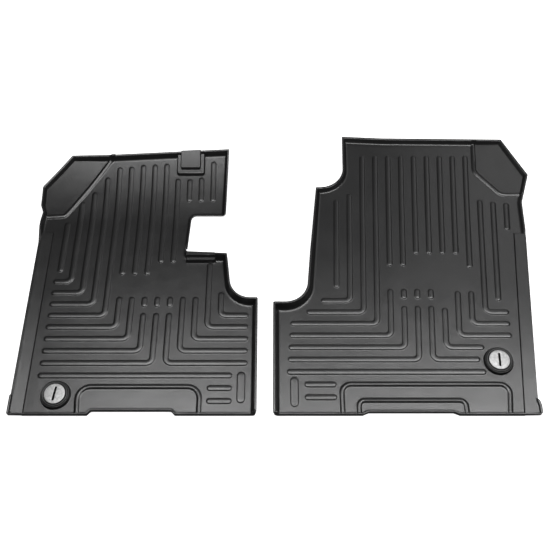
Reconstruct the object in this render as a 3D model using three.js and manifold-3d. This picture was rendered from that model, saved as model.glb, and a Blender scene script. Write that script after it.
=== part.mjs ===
// Front floor mat set for a truck cab: a moulded driver mat and a moulded passenger mat,
// each held down by one quarter-turn anchor. Millimetres, +X towards the passenger side,
// +Y towards the front of the cab, +Z up.
import * as THREE from 'three';
import { mergeVertices } from 'three/addons/utils/BufferGeometryUtils.js';
import Module from 'manifold-3d';

const wasm = await Module();
wasm.setup();

// ---- Driving dimensions ----------------------------------------------------------------
const PITCH = 35;                 // from one rib to the next
const SHEET = 3.5;                // thickness of the moulded sheet
const GAP = 0.3;                  // clearance between pieces that touch

const RIM_HEIGHT = 28;            // rim above the underside
const REAR_RIM_HEIGHT = 14;       // the rim is lower where shoes slide in from the seat
const FRONT_RIM_HEIGHT = 18;      // at the toe end
const SILL_HEIGHT = 9.5;          // and lowest beside the door
const LIP_HEIGHT = 8;             // around the cut-out for the brake pedal
const WALL_RUN = 10;              // how far the rim leans out from foot to top
const REAR_WALL_RUN = 1;          // the seat side stands nearly upright
const WALL_THICKNESS = 4;         // measured level, across the rim
const SIDE_BAND_RUN = 34;         // width of the raised band beside the door
const SIDE_BAND_STEP = 3;         // how far the band's inner edge stands above the sheet
const NOTCH_RADIUS = 57;          // the scooped corners beside the tunnel
const TOE_NOTCH_RADIUS = 66;      // the scooped corner at the toe end

const RIB_WIDTH = 16;
const RIB_HEIGHT = 3;
const RIB_BEVEL = 2;
const BEAD_WIDTH = 14;
const BEAD_HEIGHT = 4;
const FAT_RIB_WIDTH = 22;
const CORNER_RADIUS = 16;         // of a rib's centre line where it turns

const REAR_Y = -416.5;            // the seat side of both mats
const HEEL_Y = -406;              // where both mats are cut back behind the heels

// ---- Solids ----------------------------------------------------------------------------
function toSolid(geometry) {
  const bare = geometry.clone();
  for (const name of Object.keys(bare.attributes)) {
    if (name !== 'position') bare.deleteAttribute(name);
  }
  const merged = mergeVertices(bare, 1e-4);
  const vertProperties = new Float32Array(merged.attributes.position.array);
  const triVerts = new Uint32Array(merged.index.array);
  return new wasm.Manifold(new wasm.Mesh({ numProp: 3, vertProperties, triVerts }));
}

function toGeometry(solid) {
  const { vertProperties, triVerts } = solid.getMesh();
  const geometry = new THREE.BufferGeometry();
  geometry.setAttribute('position', new THREE.BufferAttribute(vertProperties, 3));
  geometry.setIndex(new THREE.BufferAttribute(triVerts, 1));
  return geometry;
}

const joined = (solids) => solids.reduce((whole, solid) => whole.add(solid));

function block(xLow, xHigh, yLow, yHigh, zLow, zHigh) {
  const geometry = new THREE.BoxGeometry(xHigh - xLow, yHigh - yLow, zHigh - zLow);
  geometry.translate((xLow + xHigh) / 2, (yLow + yHigh) / 2, (zLow + zHigh) / 2);
  return toSolid(geometry);
}

// A straight prism with its section in the YZ plane, running along X.
function prismAlongX(section, xLow, xHigh) {
  const shape = new THREE.Shape(section.map(([y, z]) => new THREE.Vector2(y, z)));
  const geometry = new THREE.ExtrudeGeometry(shape, { depth: xHigh - xLow, bevelEnabled: false });
  geometry.rotateX(Math.PI / 2);
  geometry.rotateZ(Math.PI / 2);
  geometry.translate(xLow, 0, 0);
  return toSolid(geometry);
}

// The solid between a low outline and a high outline that have matching points.
function loft(low, high, zLow, zHigh) {
  const count = low.length;
  const positions = [];
  for (const point of low) positions.push(point.x, point.y, zLow);
  for (const point of high) positions.push(point.x, point.y, zHigh);
  const index = [];
  for (let i = 0; i < count; i += 1) {
    const next = (i + 1) % count;
    index.push(i, next, count + next, i, count + next, count + i);
  }
  for (const [a, b, c] of THREE.ShapeUtils.triangulateShape(low, [])) index.push(c, b, a);
  for (const [a, b, c] of THREE.ShapeUtils.triangulateShape(high, [])) {
    index.push(count + a, count + b, count + c);
  }
  const geometry = new THREE.BufferGeometry();
  geometry.setAttribute('position', new THREE.Float32BufferAttribute(positions, 3));
  geometry.setIndex(index);
  return toSolid(geometry);
}

// ---- Outlines --------------------------------------------------------------------------
// An outline is a counter-clockwise list of corners [x, y, radius].
const SHARP = 4;
const LARGE_RADIUS_STEPS = 8;
const SMALL_RADIUS_STEPS = 2;

function turnAt(corners, i) {
  const [x, y] = corners[i];
  const [px, py] = corners[(i + corners.length - 1) % corners.length];
  const [nx, ny] = corners[(i + 1) % corners.length];
  const into = new THREE.Vector2(x - px, y - py).normalize();
  const out = new THREE.Vector2(nx - x, ny - y).normalize();
  return { into, out, angle: Math.atan2(into.cross(out), into.dot(out)) };
}

// Moves every edge inward; convex radii shrink and concave radii grow to match.
function inset(corners, distance) {
  return corners.map(([x, y, radius], i) => {
    const { into, out, angle } = turnAt(corners, i);
    const normals = new THREE.Vector2(-into.y - out.y, into.x + out.x);
    const shift = normals.multiplyScalar(distance / (1 + into.dot(out)));
    const changed = radius - Math.sign(angle) * distance;
    return [x + shift.x, y + shift.y, Math.max(changed, 2)];
  });
}

// Rounds each corner; the number of steps comes from the named radius of the same corner.
function rounded(corners, named = corners) {
  return corners.flatMap(([x, y, radius], i) => {
    const { into, out, angle } = turnAt(corners, i);
    const steps = named[i][2] >= NOTCH_RADIUS ? LARGE_RADIUS_STEPS : SMALL_RADIUS_STEPS;
    const tangent = radius * Math.tan(Math.abs(angle) / 2);
    const side = Math.sign(angle);
    const start = new THREE.Vector2(x, y).addScaledVector(into, -tangent);
    const centre = start.clone().add(new THREE.Vector2(-into.y, into.x).multiplyScalar(side * radius));
    const points = [];
    for (let step = 0; step <= steps; step += 1) {
      points.push(start.clone().rotateAround(centre, (angle * step) / steps));
    }
    return points;
  });
}

function movedTowards([x, y], [towardsX, towardsY], distance) {
  const share = distance / Math.hypot(towardsX - x, towardsY - y);
  return [x + (towardsX - x) * share, y + (towardsY - y) * share];
}

// The plan of a bar with round ends that follows a centre line from tip to tip.
function barOutline(tipToTip, width, cornerRadius) {
  const half = width / 2;
  const path = tipToTip.slice();
  path[0] = movedTowards(path[0], path[1], half);
  path[path.length - 1] = movedTowards(path[path.length - 1], path[path.length - 2], half);
  const centreLine = [];
  path.forEach(([x, y], i) => {
    const point = new THREE.Vector2(x, y);
    if (i === 0 || i === path.length - 1) {
      centreLine.push(point);
      return;
    }
    const { into, out, angle } = turnAt(path, i);
    const tangent = cornerRadius * Math.tan(Math.abs(angle) / 2);
    const start = point.clone().addScaledVector(into, -tangent);
    const end = point.clone().addScaledVector(out, tangent);
    const bend = new THREE.QuadraticBezierCurve(start, point, end);
    centreLine.push(...bend.getPoints(cornerRadius > CORNER_RADIUS ? 4 : 2));
  });
  const last = centreLine.length - 1;
  const direction = (i) => {
    const from = centreLine[Math.max(i - 1, 0)];
    const to = centreLine[Math.min(i + 1, last)];
    return to.clone().sub(from).normalize();
  };
  const beside = (i, turn) => {
    const offset = direction(i).rotateAround(new THREE.Vector2(), turn).multiplyScalar(half);
    return centreLine[i].clone().add(offset);
  };
  const quarter = Math.PI / 2;
  const capSteps = 4;
  const outline = [];
  for (let i = 0; i <= last; i += 1) outline.push(beside(i, -quarter));
  for (let step = 1; step < capSteps; step += 1) {
    outline.push(beside(last, -quarter + (Math.PI * step) / capSteps));
  }
  for (let i = last; i >= 0; i -= 1) outline.push(beside(i, quarter));
  for (let step = 1; step < capSteps; step += 1) {
    outline.push(beside(0, quarter + (Math.PI * step) / capSteps));
  }
  return outline;
}

// A raised bar on the sheet, with sloping sides and its foot inside the sheet.
function bar(path, width = RIB_WIDTH, height = RIB_HEIGHT, cornerRadius = CORNER_RADIUS) {
  const shape = new THREE.Shape(barOutline(path, width, cornerRadius));
  const footDepth = SHEET - GAP;
  const geometry = new THREE.ExtrudeGeometry(shape, {
    depth: height + footDepth - 2 * RIB_BEVEL,
    bevelEnabled: true,
    bevelThickness: RIB_BEVEL,
    bevelSize: RIB_BEVEL,
    bevelOffset: -RIB_BEVEL,
    bevelSegments: 1,
  });
  geometry.translate(0, 0, GAP + RIB_BEVEL);
  return toSolid(geometry);
}

// ---- Tray ------------------------------------------------------------------------------
// The envelope is the tray before it is hollowed; raised features are trimmed to it.
function tray(corners) {
  const outline = (distance, rearDistance) => {
    const moved = inset(corners, distance).map(([x, y, radius], i) => {
      const atRear = corners[i][1] <= HEEL_Y;
      return [x, atRear ? y - distance + rearDistance : y, radius];
    });
    return rounded(moved, corners);
  };
  const envelope = loft(outline(WALL_RUN, REAR_WALL_RUN), outline(0, 0), 0, RIM_HEIGHT);
  const hollow = loft(
    outline(WALL_RUN + WALL_THICKNESS, REAR_WALL_RUN + WALL_THICKNESS),
    outline(WALL_THICKNESS, WALL_THICKNESS),
    SHEET,
    RIM_HEIGHT + SHEET,
  );
  return { envelope, open: envelope.subtract(hollow) };
}

// Takes everything between two X planes down to a height that changes along Y. The profile
// is a list of [y, height], from the rear forward.
function lowerRim(solid, xLow, xHigh, profile) {
  const above = RIM_HEIGHT + 10;
  const first = profile[0][0];
  const last = profile[profile.length - 1][0];
  const section = [...profile, [last, above], [first, above]];
  return solid.subtract(prismAlongX(section, xLow, xHigh));
}

const REAR_PROFILE = [
  [REAR_Y - 10, REAR_RIM_HEIGHT], [REAR_Y + 22, REAR_RIM_HEIGHT], [REAR_Y + 50, RIM_HEIGHT + 9],
];
const REAR_CORNER = 13;           // the rim keeps its height this far in from the tunnel side
const FRONT_PROFILE = [[60, RIM_HEIGHT], [285, FRONT_RIM_HEIGHT], [600, FRONT_RIM_HEIGHT]];

// A foot pad in an outer corner. The sheet tilts up to the left of each piece of the path,
// and where two pieces meet, the lower plane counts.
function footPad(corners, envelope, path, slopes) {
  const planes = slopes.map((slope, i) => {
    const [x, y] = path[i];
    const across = new THREE.Vector2(y - path[i + 1][1], path[i + 1][0] - x).normalize();
    return { across, offset: across.x * x + across.y * y, slope };
  });
  const under = (solid, height, margin) => planes.reduce((whole, { across, offset, slope }) => {
    const tilted = new THREE.Vector3(slope * across.x, slope * across.y, -1);
    const limit = (slope * offset - height) / tilted.length();
    return whole
      .trimByPlane([across.x, across.y, 0], offset + margin)
      .trimByPlane(tilted.toArray(), limit);
  }, solid);
  const inner = rounded(inset(corners, WALL_RUN + WALL_THICKNESS), corners);
  const space = loft(inner, inner, -1, RIM_HEIGHT);
  return { solid: under(envelope, SHEET, 0), hollow: under(space, 0, 2 * SHEET) };
}

// The band beside the door: a low step up from the sheet, then a gentle rise to the sill.
function sideBand(start, end, outer) {
  const from = new THREE.Vector2(...start);
  const along = new THREE.Vector2(...end).sub(from);
  const length = along.length();
  const slab = (section, margin) => {
    const shape = new THREE.Shape(section.map(([t, z]) => new THREE.Vector2(t, z)));
    const depth = length - 2 * margin;
    const geometry = new THREE.ExtrudeGeometry(shape, { depth, bevelEnabled: false });
    geometry.translate(0, 0, margin);
    const across = new THREE.Vector3(along.y, -along.x, 0).divideScalar(length);
    const forward = new THREE.Vector3(along.x, along.y, 0).divideScalar(length);
    const placed = new THREE.Matrix4().makeBasis(across, new THREE.Vector3(0, 0, 1), forward.negate());
    placed.setPosition(end[0], end[1], 0);
    geometry.applyMatrix4(placed);
    return toSolid(geometry);
  };
  const stepTop = SHEET + SIDE_BAND_STEP;
  const inner = WALL_THICKNESS + SHEET;
  const section = [[0, GAP], [outer, GAP], [outer, SILL_HEIGHT - GAP], [3, stepTop], [0, SHEET - GAP]];
  const below = [[inner, -1], [outer - inner, -1], [outer - inner, SILL_HEIGHT - 5], [inner, stepTop - 3]];
  return { solid: slab(section, 0), hollow: slab(below, SHEET) };
}

// Turns the toe end up by shearing everything ahead of each bend line.
function raiseToe(solid, bends, slope) {
  const reach = 1000;
  const slopeStep = slope / bends.length;
  return bends.reduce((whole, y) => {
    const ahead = block(-reach, reach, y, reach, -reach, reach);
    const shear = new THREE.Matrix4().makeShear(0, 0, 0, slopeStep, 0, 0);
    shear.setPosition(0, 0, -slopeStep * y);
    const raised = toGeometry(whole.intersect(ahead)).applyMatrix4(shear);
    return whole.subtract(ahead).add(toSolid(raised));
  }, solid);
}

// ---- Quarter-turn anchor ---------------------------------------------------------------
const ANCHOR = {
  bossRadius: 39,
  bossTopRadius: 37.5,
  bossHeight: 11,
  pocketRadius: 34,
  pocketHeight: 7.5,
  holeRadius: 12,
  stemRadius: 6,
  stemFlat: 4.6,
  tipRadius: 4,
  discRadius: 28,
};
const LATHE_STEPS = 30;

function lathed(profile, steps = LATHE_STEPS) {
  const points = profile.map(([radius, z]) => new THREE.Vector2(radius, z));
  const geometry = new THREE.LatheGeometry(points, steps);
  geometry.rotateX(Math.PI / 2);
  return toSolid(geometry);
}

// A ring is a closed profile, so that its bore stays open.
const ring = (profile, steps) => lathed([...profile, profile[0]], steps);

// The raised boss in the mat that takes the anchor, and the space inside it.
function anchorBoss([x, y]) {
  const placed = (geometry, z) => toSolid(geometry.rotateX(Math.PI / 2).translate(x, y, z));
  const { bossRadius, bossTopRadius, bossHeight, pocketRadius, pocketHeight, holeRadius } = ANCHOR;
  const steps = LATHE_STEPS;
  const boss = new THREE.CylinderGeometry(bossTopRadius, bossRadius, bossHeight - GAP, steps);
  const pocket = new THREE.CylinderGeometry(pocketRadius, pocketRadius, 2 * pocketHeight, steps);
  const hole = new THREE.CylinderGeometry(holeRadius, holeRadius, 4 * bossHeight, steps);
  return {
    solid: placed(boss, (bossHeight + GAP) / 2),
    hollow: placed(pocket, 0).add(placed(hole, 0)),
  };
}

function grommet() {
  const { bossHeight, stemRadius, holeRadius, discRadius } = ANCHOR;
  const under = bossHeight + GAP;
  const floor = under + 1.2;
  return ring([
    [stemRadius + GAP, 5],
    [holeRadius - GAP, 5],
    [holeRadius - GAP, under],
    [35.5, under],
    [36.5, under + 1],
    [35.5, under + 3.4],
    [discRadius + 2.5, under + 4.2],
    [discRadius + 0.6, under + 3.4],
    [discRadius + 0.6, floor],
    [stemRadius + GAP, floor],
  ]);
}

function backingRing() {
  const { holeRadius, pocketHeight } = ANCHOR;
  const top = pocketHeight - GAP;
  return ring([
    [holeRadius, top - 2],
    [24, top - 2],
    [24, top],
    [holeRadius, top],
  ]);
}

function turnDisc() {
  const { bossHeight, stemRadius, stemFlat, tipRadius, discRadius } = ANCHOR;
  const seat = bossHeight + 2 * GAP + 1.2;
  const body = lathed([
    [0, 0.3],
    [tipRadius, 0.3],
    [tipRadius, 1.4],
    [stemRadius, 1.4],
    [stemRadius, seat],
    [discRadius - 0.5, seat],
    [discRadius, seat + 0.6],
    [discRadius, seat + 2.6],
    [discRadius - 2, seat + 3.6],
    [discRadius - 10, seat + 4.4],
    [0, seat + 4.8],
  ]);
  const slotLength = 36;
  const slotWidth = 4.2;
  const slotFloor = seat + 2.4;
  const slot = block(-slotWidth / 2, slotWidth / 2, -slotLength / 2, slotLength / 2, slotFloor, 30);
  const keyReach = stemRadius + 3;
  const flats = block(-keyReach, -stemFlat, -keyReach, keyReach, -1, 3.6)
    .add(block(stemFlat, keyReach, -keyReach, keyReach, -1, 3.6));
  return body.subtract(slot).subtract(flats);
}

// A wavy spring washer between the sleeve and the lock bar, kept as its flat envelope.
function waveWasher() {
  const { stemRadius } = ANCHOR;
  return ring([
    [stemRadius + GAP, 3.9],
    [10.5, 3.9],
    [10.5, 4.7],
    [stemRadius + GAP, 4.7],
  ]);
}

function lockBar() {
  const shape = new THREE.Shape(barOutline([[0, -26], [0, 26]], 16, 0));
  const bore = new THREE.Path();
  const flat = ANCHOR.stemFlat + GAP;
  const half = ANCHOR.stemRadius + GAP;
  bore.moveTo(-flat, -half).lineTo(-flat, half).lineTo(flat, half).lineTo(flat, -half).closePath();
  shape.holes.push(bore);
  const geometry = new THREE.ExtrudeGeometry(shape, { depth: 2, bevelEnabled: false });
  geometry.translate(0, 0, 1.6);
  return toSolid(geometry);
}

function retainingRing() {
  return ring([
    [ANCHOR.tipRadius + GAP, 0.4],
    [8, 0.4],
    [8, 1.1],
    [ANCHOR.tipRadius + GAP, 1.1],
  ], 24);
}

// ---- Driver mat ------------------------------------------------------------------------
const DRIVER_ANCHOR = [-563, -362];
const DRIVER_TUNNEL_X = -46.5;
const DRIVER_FIRST_COLUMN = -463;
const LONG_ROW_Y = -308;

function driverOutline() {
  const cutOut = [[-134.5, 52.5, SHARP], [-243.5, 57.5, SHARP], [-236, 183.5, 8], [-140.5, 183.5, 6]];
  const footRest = [
    [-606, 377, 10], [-689, 281, 14], [-688.5, 219, 6], [-680, 197, 6], [-684, 168, 12],
  ];
  return [
    [-683, REAR_Y, 6], [-477, REAR_Y, SHARP], [-467, HEEL_Y, SHARP], [-264, HEEL_Y, SHARP],
    [-254, REAR_Y, SHARP], [DRIVER_TUNNEL_X, REAR_Y, 10], [DRIVER_TUNNEL_X, -88.5, SHARP],
    [-118, -88.5, NOTCH_RADIUS],
    ...cutOut, [-132.5, 396, 4], [-490, 379.5, 40], ...footRest,
  ];
}

function driverRibs() {
  const column = (i) => DRIVER_FIRST_COLUMN + PITCH * i;
  const row = (j) => LONG_ROW_Y + PITCH * j;
  const doorEnd = -617;
  const tunnelEnd = -72;
  const straight = [
    [-4, 3, 170], [1, -6, 349], [2, -6, 354], [3, -6, 355], [4, 34, 358], [5, 34, 313],
    [6, 239, 311], [7, 239, 316], [8, 239, 364], [3, -107, -76], [4, -107, -76], [5, -107, -76],
  ];
  const doorSide = [239, 270, 316, 347, -76, -76, -126, -126];
  const tunnelSide = [-61, 33, -76, -76, -126];
  return [
    ...straight.map(([i, low, high]) => bar([[column(i), low], [column(i), high]])),
    ...doorSide.map((top, k) => bar([
      [column(k - 3), top], [column(k - 3), row(8 - k)], [doorEnd, row(8 - k)],
    ])),
    ...tunnelSide.map((top, k) => bar([
      [column(9 - k), top], [column(9 - k), row(5 - k)], [tunnelEnd, row(5 - k)],
    ])),
    bar([[doorEnd, row(0)], [-111, row(0)]]),
    bar([[-176, row(-1)], [-111, row(-1)]]),
    bar([[-176, row(-2)], [-111, row(-2)]]),
    bar([[-88, -384], [-88, -298]], FAT_RIB_WIDTH),
  ];
}

const DRIVER_FOOT_REST = [[-672, 188], [-615, 191], [-477, 386]];

function driverBeads() {
  const heelPlate = [[-502.5, -414], [-510, -339], [-194, -339], [-194, -414]];
  return [
    bar(heelPlate, BEAD_WIDTH, BEAD_HEIGHT, 2 * CORNER_RADIUS),
    bar(DRIVER_FOOT_REST, BEAD_WIDTH, BEAD_HEIGHT),
  ];
}

// The low lip around the cut-out for the brake pedal. Its seat side is a moulded step that
// is as tall as the rim.
function pedalCutOut(solid) {
  const above = RIM_HEIGHT + 10;
  const lowered = solid
    .subtract(block(-268, -230, 61, 210, LIP_HEIGHT, above))
    .subtract(block(-231, -150, 170, 210, LIP_HEIGHT, above));
  const step = block(-252, -166, 33, 45, 1, 16).add(block(-252, -166, 43, 52, 1, RIM_HEIGHT - GAP));
  return lowered.add(step);
}

const DRIVER_DOOR_PROFILE = [
  [REAR_Y - 10, REAR_RIM_HEIGHT], [-366, REAR_RIM_HEIGHT], [-361, SILL_HEIGHT], [100, SILL_HEIGHT],
  [150, FRONT_RIM_HEIGHT], [300, FRONT_RIM_HEIGHT],
];
const DRIVER_TOE_BENDS = [173, 220, 267, 314, 361];
const DRIVER_TOE_SLOPE = 0.4;     // final rise over run of the toe end

// The moulded bracket block that stands on the front edge of the driver mat.
function bracketBlock() {
  const shape = (xLow, xHigh, yLow) => rounded([
    [xLow, 392, SHARP], [xLow, yLow, 10], [xHigh, yLow, 10], [xHigh, 392, SHARP],
  ]);
  const base = loft(shape(-293, -208, 321), shape(-290, -211, 325), 1, 12);
  const top = loft(shape(-283, -218, 332), shape(-279, -222, 337), 11, 21);
  return base.add(top);
}

function driverMat() {
  const { envelope, open } = tray(driverOutline());
  const boss = anchorBoss(DRIVER_ANCHOR);
  const band = sideBand([-638, 150], [-638, REAR_Y + 3], SIDE_BAND_RUN);
  const pad = footPad(driverOutline(), envelope, DRIVER_FOOT_REST, [0.2, 0.05]);
  const features = joined([boss.solid, band.solid, pad.solid, ...driverRibs(), ...driverBeads()]);
  const raised = pedalCutOut(open).add(features.intersect(envelope));
  const rearLowered = lowerRim(raised, -700, DRIVER_TUNNEL_X - REAR_CORNER, REAR_PROFILE);
  const frontLowered = lowerRim(rearLowered, -700, 0, FRONT_PROFILE);
  const lowered = lowerRim(frontLowered, -700, -630, DRIVER_DOOR_PROFILE);
  const whole = lowered.add(bracketBlock().intersect(envelope));
  const hollowed = whole.subtract(band.hollow).subtract(boss.hollow).subtract(pad.hollow);
  return raiseToe(hollowed, DRIVER_TOE_BENDS, DRIVER_TOE_SLOPE);
}

// ---- Passenger mat ---------------------------------------------------------------------
const PASSENGER_ANCHOR = [587, -268];
const PASSENGER_TUNNEL_X = -5.5;
const PASSENGER_BAND_RUN = 40;
const FAN_ORIGIN_Y = -298;        // row from which the columns spread
const FAN_COLUMN = 6;             // the column counted from
const FAN_COLUMN_X = 377.4;
const FAN_COLUMN_PITCH = 36;
const FAN_LEAN = 0.068;           // how far that column leans towards the door, run over rise
const FAN_SPREAD = 0.0049;        // further lean of each following column

function passengerOutline() {
  return [
    [PASSENGER_TUNNEL_X, REAR_Y, 6], [222, REAR_Y, SHARP], [237, HEEL_Y - 4, SHARP],
    [452, HEEL_Y - 4, SHARP], [468, REAR_Y, SHARP], [681, REAR_Y, 10],
    [682, -392, 8], [677.5, -372, 8], [728.5, 112, 20],
    [735, 236, 20], [764, 333, 8], [699, 466.5, 8], [330, 471, 60], [204, 477.5, 5],
    [199.5, 293.5, TOE_NOTCH_RADIUS], [119, 290.5, SHARP],
    [85, -101.5, NOTCH_RADIUS + 5], [-5, -101.5, SHARP],
  ];
}

function passengerRibs() {
  const columnX = (i, y) => {
    const across = i - FAN_COLUMN;
    const lean = FAN_LEAN + FAN_SPREAD * across;
    return FAN_COLUMN_X + FAN_COLUMN_PITCH * across + (y - FAN_ORIGIN_Y) * lean;
  };
  const row = (j) => FAN_ORIGIN_Y + PITCH * j;
  const straight = [
    [0, -48, 251], [4, 23, 412], [5, 23, 412], [6, 63, 412], [7, 63, 412], [8, 63, 412],
    [9, 62, 412], [10, 17, 412], [12, -89, 244], [13, 144, 240],
    [5, -83, -51], [6, -83, -51], [7, -83, -51],
  ];
  const turned = [
    [1, 272, 6, 127], [2, 412, 5, 86], [3, 412, 4, 42], [4, -51, 3, 39], [5, -104, 2, 36],
    [6, -104, 1, 34], [7, -104, 1, 540], [8, -110, 2, 555], [9, -58, 3, 634], [10, -58, 4, 635],
    [11, 251, 5, 637],
  ];
  return [
    ...straight.map(([i, low, high]) => bar([[columnX(i, low), low], [columnX(i, high), high]])),
    ...turned.map(([i, top, j, end]) => bar([
      [columnX(i, top), top], [columnX(i, row(j)), row(j)], [end, row(j)],
    ])),
    bar([[31, row(0)], [551, row(0)]]),
    bar([[76, row(-1)], [159, row(-1)]]),
    bar([[76, row(-2)], [159, row(-2)]]),
    bar([[50, -394], [50, -312]], FAT_RIB_WIDTH),
  ];
}

const PASSENGER_FOOT_REST = [[613, 466], [604, 352], [673, 268.5], [745, 268.5]];

function passengerBeads() {
  const outerHeel = [[172, -414], [172, -332], [607, -332], [596, -414]];
  const innerHeel = [[214, -414], [214, -376], [487, -376], [487, -414]];
  return [
    bar(outerHeel, BEAD_WIDTH, BEAD_HEIGHT, 1.5 * CORNER_RADIUS),
    bar(innerHeel, BEAD_WIDTH, BEAD_HEIGHT),
    bar(PASSENGER_FOOT_REST, BEAD_WIDTH, BEAD_HEIGHT, 2 * CORNER_RADIUS),
  ];
}

const PASSENGER_DOOR_PROFILE = [
  [REAR_Y - 10, REAR_RIM_HEIGHT], [-377, REAR_RIM_HEIGHT], [-372, SILL_HEIGHT], [125, SILL_HEIGHT],
  [140, 12], [235, 12], [320, FRONT_RIM_HEIGHT], [330, FRONT_RIM_HEIGHT],
];
const PASSENGER_TOE_BENDS = [225, 375];
const PASSENGER_TOE_SLOPE = 0.06; // this mat's toe end lies flatter

function passengerMat() {
  const { envelope, open } = tray(passengerOutline());
  const boss = anchorBoss(PASSENGER_ANCHOR);
  const band = sideBand([630, REAR_Y + 3], [690, 135], PASSENGER_BAND_RUN);
  const pad = footPad(passengerOutline(), envelope, PASSENGER_FOOT_REST, [0.3, 0.03, 0.3]);
  const features = joined([boss.solid, band.solid, pad.solid, ...passengerRibs(), ...passengerBeads()]);
  const raised = open.add(features.intersect(envelope));
  const rearLowered = lowerRim(raised, PASSENGER_TUNNEL_X + REAR_CORNER, 740, REAR_PROFILE);
  const frontLowered = lowerRim(rearLowered, -50, 780, FRONT_PROFILE);
  const lowered = lowerRim(frontLowered, 636, 780, PASSENGER_DOOR_PROFILE);
  const hollowed = lowered.subtract(band.hollow).subtract(boss.hollow).subtract(pad.hollow);
  return raiseToe(hollowed, PASSENGER_TOE_BENDS, PASSENGER_TOE_SLOPE);
}

// ---- Assembly --------------------------------------------------------------------------
const MATERIALS = {
  mat: { color: 0x1b1b1c, roughness: 0.55, metalness: 0 },
  grommet: { color: 0x111111, roughness: 0.45, metalness: 0 },
  metal: { color: 0xb9babb, roughness: 0.38, metalness: 1 },
  spring: { color: 0x8c8f93, roughness: 0.3, metalness: 1 },
};

function piece(name, solid, finish) {
  const mesh = new THREE.Mesh(toGeometry(solid), new THREE.MeshStandardMaterial(MATERIALS[finish]));
  mesh.name = name;
  return mesh;
}

function anchor(side, [x, y]) {
  const group = new THREE.Group();
  group.add(
    piece(`${side}_grommet`, grommet(), 'grommet'),
    piece(`${side}_backing_ring`, backingRing(), 'grommet'),
    piece(`${side}_turn_disc`, turnDisc(), 'metal'),
    piece(`${side}_wave_washer`, waveWasher(), 'spring'),
    piece(`${side}_lock_bar`, lockBar(), 'metal'),
    piece(`${side}_retaining_ring`, retainingRing(), 'spring'),
  );
  group.position.set(x, y, 0);
  return group;
}

const set = new THREE.Group();
set.add(
  piece('driver_mat', driverMat(), 'mat'),
  anchor('driver', DRIVER_ANCHOR),
  piece('passenger_mat', passengerMat(), 'mat'),
  anchor('passenger', PASSENGER_ANCHOR),
);

// The origin is the middle of the set's footprint, on the cab floor.
const bounds = new THREE.Box3().setFromObject(set);
const middle = bounds.getCenter(new THREE.Vector3());
set.position.set(-middle.x, -middle.y, -bounds.min.z);

export default set;
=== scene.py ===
"""Looks for the floor mat set: two moulded tray mats and their quarter-turn anchors.

Outlines and features are drawn in millimetres from the same datum as the CAD model. Each mat
is then placed so that its anchor is centred on the CAD model's turn disc. Blender's own units
are metres.
"""

import math

import bmesh
import bpy
import numpy as np
from mathutils import Matrix, Vector
from mathutils.geometry import delaunay_2d_cdt


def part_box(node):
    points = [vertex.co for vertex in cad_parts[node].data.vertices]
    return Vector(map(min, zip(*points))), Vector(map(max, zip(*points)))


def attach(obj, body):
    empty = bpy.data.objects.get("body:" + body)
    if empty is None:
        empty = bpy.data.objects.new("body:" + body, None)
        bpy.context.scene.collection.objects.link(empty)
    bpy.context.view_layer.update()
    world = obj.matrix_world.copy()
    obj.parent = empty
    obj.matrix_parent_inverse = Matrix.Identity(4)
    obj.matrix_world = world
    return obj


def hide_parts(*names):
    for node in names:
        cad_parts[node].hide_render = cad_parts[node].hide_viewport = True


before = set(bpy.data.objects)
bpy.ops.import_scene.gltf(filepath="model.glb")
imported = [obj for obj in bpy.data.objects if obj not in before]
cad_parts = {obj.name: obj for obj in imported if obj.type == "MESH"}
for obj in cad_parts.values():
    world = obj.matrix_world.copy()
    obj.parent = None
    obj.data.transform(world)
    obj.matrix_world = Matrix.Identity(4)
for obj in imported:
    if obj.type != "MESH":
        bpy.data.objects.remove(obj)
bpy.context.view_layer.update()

MM = 0.001

# ---- Driving dimensions, in millimetres --------------------------------------------------
# The outline. The seat side has the most negative y, and the toe end the most positive.
# OUTSIDE is a depth beyond every edge.
REAR_Y = -416.0
HEEL_Y = -405.5
DRIVER_TUNNEL_X = -46.5
PASSENGER_TUNNEL_X = -5.5
NOTCH_RADIUS = 57.0
TOE_NOTCH_RADIUS = 66.0
SHARP = 4.0
SMALLEST_RADIUS = 1.5
OUTSIDE = -5.0

# The sheet and its rim, which has its full height beside the tunnel. Depths are measured
# inward from the outline. Raised features are a little thicker than the sheet.
SHEET = 3.5
RIM_HEIGHT = 28.0
REAR_RIM_HEIGHT = 14.0
FRONT_RIM_HEIGHT = 18.0
LIP_HEIGHT = 8.0
LIP_SOFTNESS = 4.0
WALL_RUN = 10.0
FOOT_RUN = 20.6
RIM_DEPTHS = (0, 0.8, 2.0, 5.0, 6.2, 12.0, 13.2, 14.6, 16.4, 18.6)
REAR_WALL_DEPTH = 3.4
UNDERSIDE_DEPTHS = (9.4, 10.4)
REAR_RISE = (REAR_Y + 22, REAR_Y + 40)
FRONT_FALL = (60, 285)
REAR_CORNER = 13.0
REAR_CORNER_BLEND = 2.0
EXTRA_THICKNESS = 1.0
LEAST_THICKNESS = 1.2

# The band beside the door: a step up from the sheet, then a gentle rise to the sill.
SILL_HEIGHT = 9.5
SIDE_BAND_RUN = 34.0
PASSENGER_BAND_RUN = 40.0
SIDE_BAND_STEP = 3.6
SIDE_BAND_STEP_RUN = 2.4

# Ribs and beads. A rib's foot spreads a little past its width, and its top is domed. A line
# of the mesh guards the flat sheet at a small distance from each foot.
PITCH = 35.0
RIB_WIDTH = 16.0
RIB_HEIGHT = 3.0
RIB_SLOPE = 3.4
FAT_RIB_WIDTH = 22.0
RIB_SPREAD = 0.6
CROWN = 0.9
GUARD = 2.4
BEAD_WIDTH = 14.0
BEAD_HEIGHT = 4.0
BEAD_SLOPE = 5.0
CORNER_RADIUS = 16.0
DRIVER_PAD_SLOPE = 0.03
PASSENGER_PAD_SLOPE = 0.03

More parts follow.
